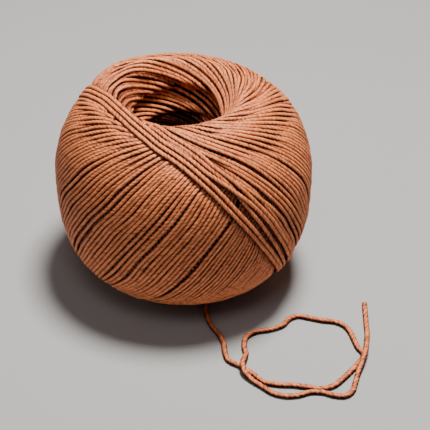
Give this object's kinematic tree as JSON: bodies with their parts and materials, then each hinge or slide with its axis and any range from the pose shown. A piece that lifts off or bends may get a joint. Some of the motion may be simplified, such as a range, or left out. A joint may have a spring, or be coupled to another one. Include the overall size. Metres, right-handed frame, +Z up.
{
  "type": "ball of waxed thread",
  "caption": "Coreless wound ball of waxed twisted thread with a funnelled hole through its middle and a loose end, for hand-stitching leather.",
  "frame": {"origin": "centre of the ball's lower rim, on the surface that the ball stands on", "axes": "+Z up along the winding axis, which is the axis of the hole; +X to the right and -Y towards the viewer, on the side where the loose end lies"},
  "size_m": [0.0932, 0.0967, 0.0631],
  "materials": {
    "waxed_thread": "twisted, waxed, satin"
  },
  "bodies": {
    "root": {"winding_core": "waxed_thread", "winding_1": "waxed_thread", "winding_2": "waxed_thread", "winding_3": "waxed_thread", "winding_4": "waxed_thread", "winding_5": "waxed_thread", "winding_6": "waxed_thread", "winding_7": "waxed_thread", "winding_8": "waxed_thread", "winding_9": "waxed_thread", "last_strands": "waxed_thread", "loose_end": "waxed_thread"}
  },
  "joints": []
}
